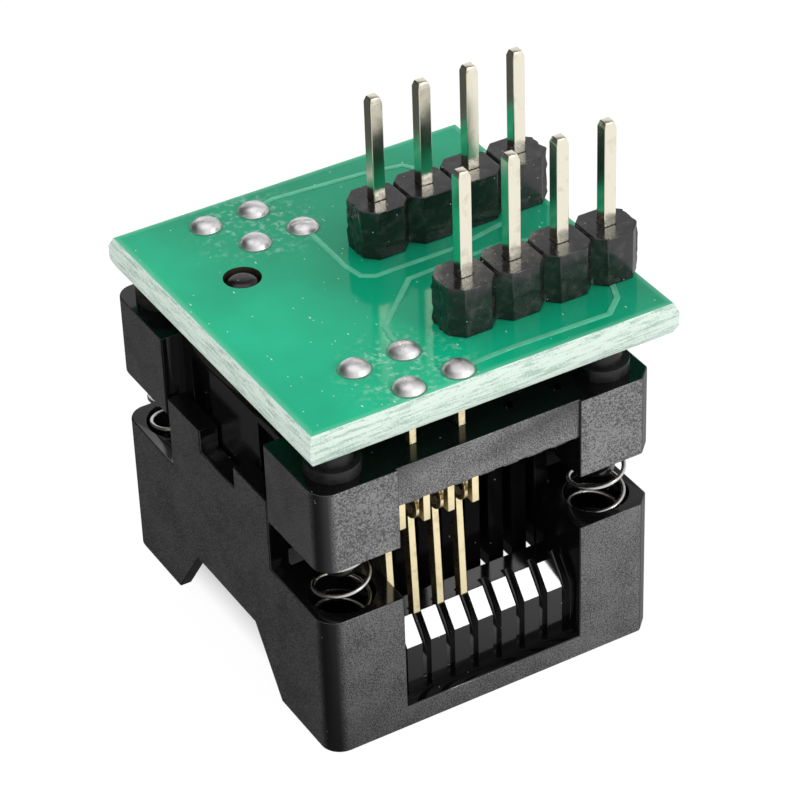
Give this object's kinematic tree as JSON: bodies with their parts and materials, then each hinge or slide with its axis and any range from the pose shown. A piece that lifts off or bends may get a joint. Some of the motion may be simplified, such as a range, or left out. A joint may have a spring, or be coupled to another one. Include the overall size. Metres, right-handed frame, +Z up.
{
  "type": "ic socket adapter",
  "caption": "Press-to-open test socket for small-outline chips on a green adapter board with dual-in-line header pins",
  "frame": {"origin": "centre of the chip mouth, on the outer face of the cover that the adapter stands on", "axes": "+Z up along the header pins, +X along the contact rows towards the header end, -Y towards the pictured long side"},
  "size_m": [0.0192, 0.0199, 0.0255],
  "materials": {
    "black_plastic": "fine-grained glass-filled moulding",
    "header_plastic": "smooth moulding with broken ends",
    "green_board": "glossy solder mask on glass-epoxy laminate",
    "gold_contact": "gold-plated spring strip",
    "spring_wire": "drawn spring wire",
    "tinned_pin": "bright tin plating",
    "solder": "frozen solder, half bright"
  },
  "bodies": {
    "socket": {"socket_base": "black_plastic", "spring_front_left": "spring_wire", "spring_front_right": "spring_wire", "spring_back_left": "spring_wire", "spring_back_right": "spring_wire", "contact_blade_front_1": "gold_contact", "contact_blade_front_2": "gold_contact", "contact_blade_front_3": "gold_contact", "contact_blade_front_4": "gold_contact", "contact_blade_back_1": "gold_contact", "contact_blade_back_2": "gold_contact", "contact_blade_back_3": "gold_contact", "contact_blade_back_4": "gold_contact", "contact_solder": "solder", "circuit_board": "green_board", "header_solder": "solder", "header_block_front": "header_plastic", "header_block_back": "header_plastic", "header_pin_1": "tinned_pin", "header_pin_2": "tinned_pin", "header_pin_3": "tinned_pin", "header_pin_4": "tinned_pin", "header_pin_5": "tinned_pin", "header_pin_6": "tinned_pin", "header_pin_7": "tinned_pin", "header_pin_8": "tinned_pin"},
    "cover": {"cover": "black_plastic"},
    "lever_front_1": {"contact_lever_front_1": "gold_contact"},
    "lever_front_2": {"contact_lever_front_2": "gold_contact"},
    "lever_front_3": {"contact_lever_front_3": "gold_contact"},
    "lever_front_4": {"contact_lever_front_4": "gold_contact"},
    "lever_back_1": {"contact_lever_back_1": "gold_contact"},
    "lever_back_2": {"contact_lever_back_2": "gold_contact"},
    "lever_back_3": {"contact_lever_back_3": "gold_contact"},
    "lever_back_4": {"contact_lever_back_4": "gold_contact"}
  },
  "joints": [
    {"name": "cover_slide", "type": "slide", "parent": "socket", "child": "cover", "axis": [0, 0, 1], "range_m": [0, 0.0023], "stiffness_N_per_m": 2000, "springref_m": -0.0015, "deforming": ["spring_front_left", "spring_front_right", "spring_back_left", "spring_back_right"]},
    {"name": "lever_front_1_bend", "type": "hinge", "parent": "socket", "child": "lever_front_1", "pos_m": [-0.00445, -0.008, 0.01132], "axis": [-1, 0, 0], "range_deg": [0, 9.7]},
    {"name": "lever_front_2_bend", "type": "hinge", "parent": "socket", "child": "lever_front_2", "pos_m": [-0.00317, -0.008, 0.01132], "axis": [-1, 0, 0], "range_deg": [0, 9.7]},
    {"name": "lever_front_3_bend", "type": "hinge", "parent": "socket", "child": "lever_front_3", "pos_m": [-0.00191, -0.008, 0.01132], "axis": [-1, 0, 0], "range_deg": [0, 9.7]},
    {"name": "lever_front_4_bend", "type": "hinge", "parent": "socket", "child": "lever_front_4", "pos_m": [-0.00064, -0.008, 0.01132], "axis": [-1, 0, 0], "range_deg": [0, 9.7]},
    {"name": "lever_back_1_bend", "type": "hinge", "parent": "socket", "child": "lever_back_1", "pos_m": [-0.00445, 0.008, 0.01132], "axis": [1, 0, 0], "range_deg": [0, 9.7]},
    {"name": "lever_back_2_bend", "type": "hinge", "parent": "socket", "child": "lever_back_2", "pos_m": [-0.00317, 0.008, 0.01132], "axis": [1, 0, 0], "range_deg": [0, 9.7]},
    {"name": "lever_back_3_bend", "type": "hinge", "parent": "socket", "child": "lever_back_3", "pos_m": [-0.00191, 0.008, 0.01132], "axis": [1, 0, 0], "range_deg": [0, 9.7]},
    {"name": "lever_back_4_bend", "type": "hinge", "parent": "socket", "child": "lever_back_4", "pos_m": [-0.00064, 0.008, 0.01132], "axis": [1, 0, 0], "range_deg": [0, 9.7]}
  ],
  "couplings": [
    {"joint": "lever_front_1_bend", "follows": "cover_slide", "rad_per_m": 73.6},
    {"joint": "lever_front_2_bend", "follows": "cover_slide", "rad_per_m": 73.6},
    {"joint": "lever_front_3_bend", "follows": "cover_slide", "rad_per_m": 73.6},
    {"joint": "lever_front_4_bend", "follows": "cover_slide", "rad_per_m": 73.6},
    {"joint": "lever_back_1_bend", "follows": "cover_slide", "rad_per_m": 73.6},
    {"joint": "lever_back_2_bend", "follows": "cover_slide", "rad_per_m": 73.6},
    {"joint": "lever_back_3_bend", "follows": "cover_slide", "rad_per_m": 73.6},
    {"joint": "lever_back_4_bend", "follows": "cover_slide", "rad_per_m": 73.6}
  ]
}
